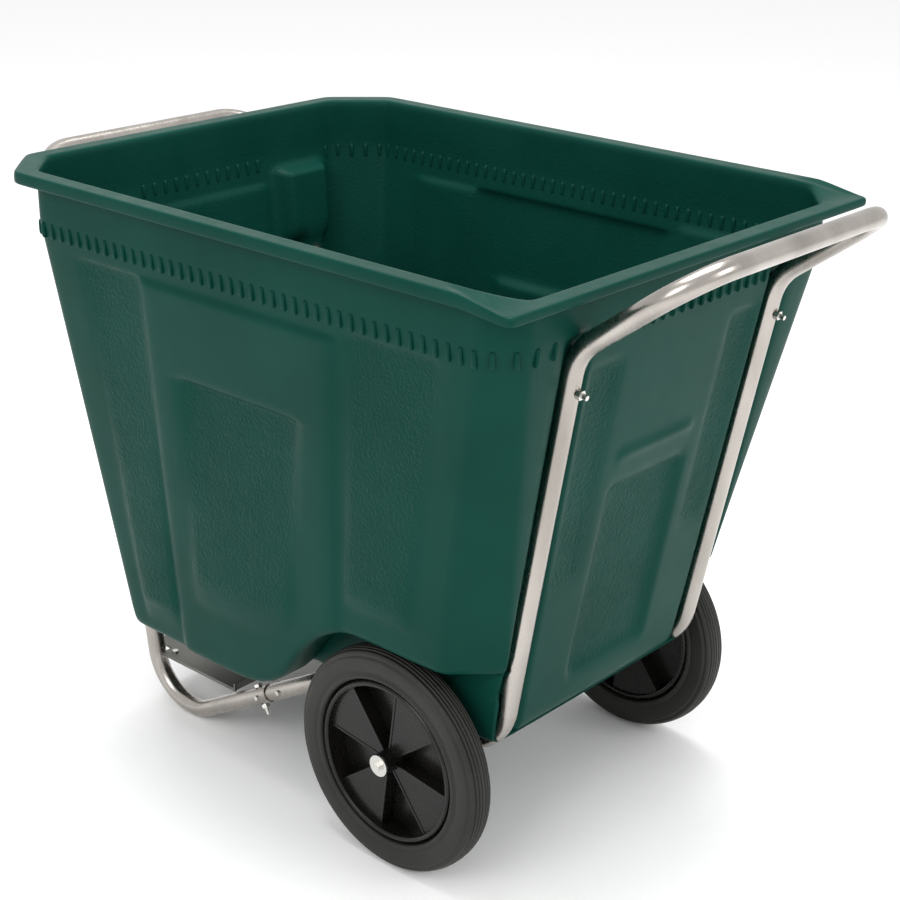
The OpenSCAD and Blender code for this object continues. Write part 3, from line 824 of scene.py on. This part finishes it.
def makeWheel(sideName, side):
    body = sideName + "_wheel"
    build = bmesh.new()
    outer = wheel["tyreHalf"]
    lathe(build, [(-t, r) for t, r in outer] + [(t, r) for t, r in reversed(outer)], side, wheel["segments"])
    wheelPiece(sideName + "Tyre", build, body, tyreRubber, sideName + "_tyre")
    build = bmesh.new()
    lathe(build, wheel["rim"], side, wheel["segments"])
    lathe(build, wheel["boss"], side, wheel["bossSegments"])
    face, thick, sector = wheel["face"], wheel["thick"], 360 / wheel["fans"]
    back = -face - wheel["fanStep"]
    for k in range(wheel["fans"]):
        middle = math.radians(wheel["fanFirst"] + sector * k)
        # panels stand at the outer face and at the inner face in turn
        outline = [(r * math.cos(middle + a), r * math.sin(middle + a)) for r, a in
                   [(wheel["fanOut"], math.radians(wheel["fanOutSpread"]) * (n / 5 - 1)) for n in range(11)]
                   + [(wheel["fanIn"], math.radians(wheel["fanInSpread"]) * (1 - n / 2)) for n in range(5)]]
        near, far = (face - thick, face) if k % 2 == 0 else (back, back + thick)
        prism(build, outline, near, far, wheel["fanEdge"], side)
        # a radial wall joins each panel to the next
        edge = middle + math.radians(sector / 2)
        along, across = Vector((math.cos(edge), math.sin(edge))), Vector((-math.sin(edge), math.cos(edge)))
        reach, span = (wheel["wallIn"], wheel["wallOut"]), wheel["wallHalf"]
        wallOutline = [along * r + across * w for r, w in
                       ((reach[0], -span), (reach[1], -span), (reach[1], span), (reach[0], span))]
        near, far = -face - wheel["wallBack"], face + wheel["wallProud"]
        prism(build, wallOutline, near, far, wheel["wallEdge"], side)
    wheelPiece(sideName + "Hub", build, body, hubPlastic, sideName + "_wheel_hub")


makeWheel("left", -1)
makeWheel("right", 1)
print("stage: wheels")


studio = {
    "floorHalf": 14, "paper": (0.96, 0.96, 0.96), "paperSecond": (0.95, 0.95, 0.95), "paperRough": 0.9,
    "world": 0.95, "aim": (0, 0, 0.4),
    "softboxes": (  # name, place, size and power
        ("softboxLeft", (-3.4, -0.6, 2.6), (2.0, 1.8), 42),
        ("softboxRear", (0.8, -3.4, 2.2), (1.8, 1.6), 34),
        ("softboxTop", (0.2, 0.3, 3.6), (2.4, 2.4), 105)),
}


def makeStage():
    mesh = bpy.data.meshes.new("studioFloor")
    size = studio["floorHalf"]
    corners = [(-size, -size, 0), (size, -size, 0), (size, size, 0), (-size, size, 0)]
    mesh.from_pydata(corners, [], [(0, 1, 2, 3)])
    floor = newObject("studioFloor", mesh)
    material, tree, shader, place = startMaterial("studioPaper")
    fibre = addNoise(tree, place, 30, 4)
    tree.links.new(addColourMix(tree, addRange(tree, fibre, 0, 1), studio["paper"], studio["paperSecond"]),
                   shader.inputs["Base Color"])
    shader.inputs["Roughness"].default_value = studio["paperRough"]
    mesh.materials.append(material)


def areaLight(name, place, size, power):
    light = bpy.data.lights.new(name, "AREA")
    light.shape = "RECTANGLE"
    light.size, light.size_y = size
    light.energy = power
    lamp = newObject(name, light)
    lamp.location = place
    lamp.rotation_euler = (Vector(studio["aim"]) - Vector(place)).to_track_quat("-Z", "Y").to_euler()


def makeLights():
    world = bpy.data.worlds.new("studioWorld")
    bpy.context.scene.world = world
    world.use_nodes = True
    world.node_tree.nodes["Background"].inputs["Color"].default_value = (1, 1, 1, 1)
    world.node_tree.nodes["Background"].inputs["Strength"].default_value = studio["world"]
    for softbox in studio["softboxes"]:
        areaLight(*softbox)
    bpy.context.scene.view_settings.view_transform = "Standard"


# Camera: angles in degrees, place in metres from the axle's middle, lens and sensor in mm
camera = {
    "azimuth": -48.19, "elevation": 22.0, "roll": 0.66, "place": (-1.695, -1.382, 1.382), "lens": 72.76,
    "sensor": 36, "clipEnd": 60,
}


def makeCamera():
    lens = bpy.data.cameras.new("studioCamera")
    lens.sensor_width = camera["sensor"]
    lens.lens = camera["lens"]
    lens.clip_end = camera["clipEnd"]
    eye = newObject("studioCamera", lens)
    eye.location = (camera["place"][0], camera["place"][1] + axleY, camera["place"][2])
    eye.rotation_euler = (math.radians(90 - camera["elevation"]), 0, math.radians(camera["azimuth"]))
    bpy.context.view_layer.update()
    turn = eye.rotation_euler.to_matrix()
    turn = turn @ Matrix.Rotation(math.radians(camera["roll"]), 3, "Z")
    eye.rotation_euler = turn.to_euler()
    bpy.context.scene.camera = eye


makeStage()
makeLights()
makeCamera()
print("stage: floor, lights and camera")
